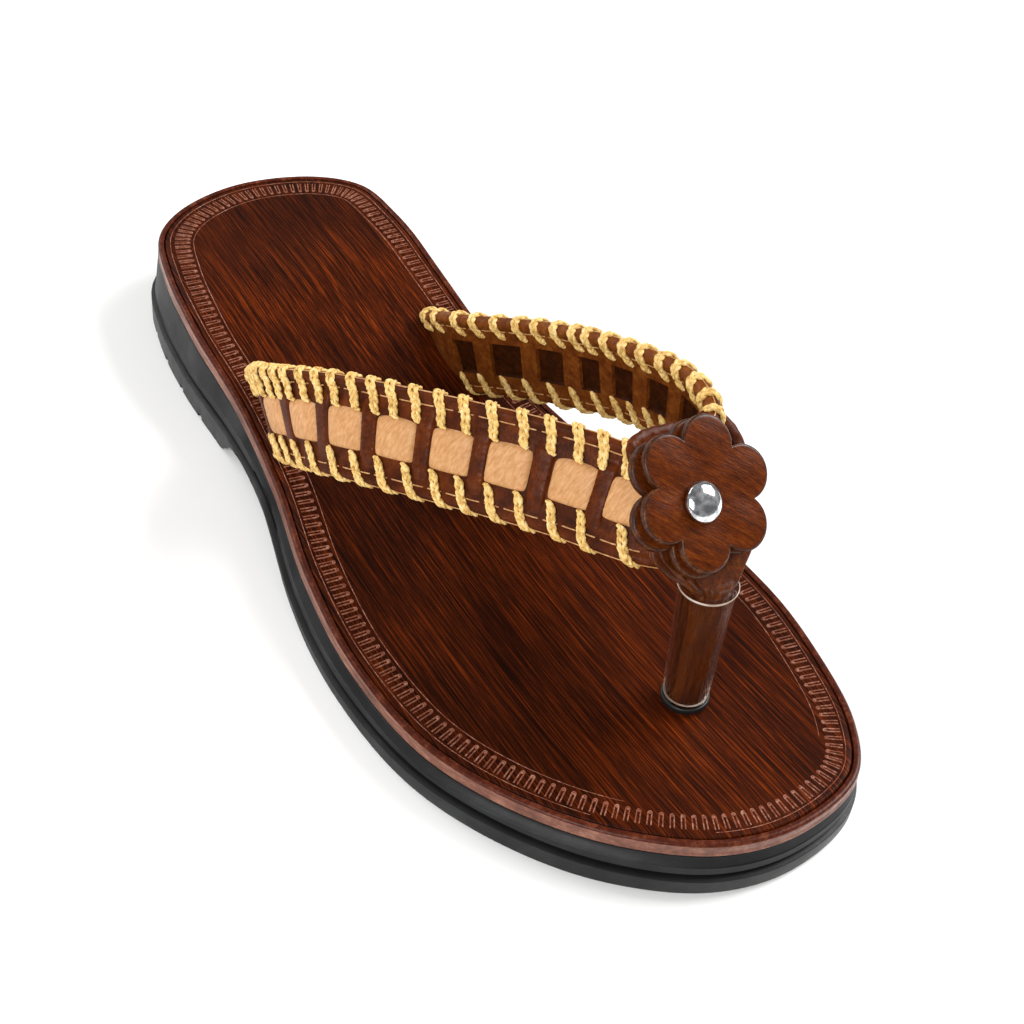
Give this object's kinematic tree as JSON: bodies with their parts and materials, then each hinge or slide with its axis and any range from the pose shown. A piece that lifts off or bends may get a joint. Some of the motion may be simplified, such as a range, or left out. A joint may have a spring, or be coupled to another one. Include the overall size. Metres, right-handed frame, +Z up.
{
  "type": "kolhapuri sandal",
  "caption": "Leather thong sandal with a low rubber sole, woven straps whipped with cord, and a flower over a toe post in a clear sleeve.",
  "frame": {"origin": "middle of the bounding box, on the plane that the sole stands on", "axes": "+Y toward the heel, -Y toward the toe, +X toward the medial side of a right foot, +Z up"},
  "size_m": [0.1008, 0.2488, 0.0754],
  "materials": {
    "sole_rubber": "matte black moulded rubber",
    "footbed_leather": "varnished red-brown leather",
    "edge_leather": "satin copper-brown edge leather",
    "strap_leather": "semi-gloss dark brown leather",
    "post_leather": "rolled brown leather",
    "clear_sleeve": "clear flexible plastic",
    "seat_rubber": "black rubber",
    "flower_leather": "mottled semi-gloss leather",
    "rivet_chrome": "polished"
  },
  "bodies": {
    "root": {"outsole": "sole_rubber", "footbed": "footbed_leather", "edge_band": "edge_leather", "upper": "strap_leather", "toe_post": "post_leather", "post_sleeve": "clear_sleeve", "post_seat": "seat_rubber", "flower_back": "flower_leather", "flower_front": "flower_leather", "rivet": "rivet_chrome"}
  },
  "joints": []
}
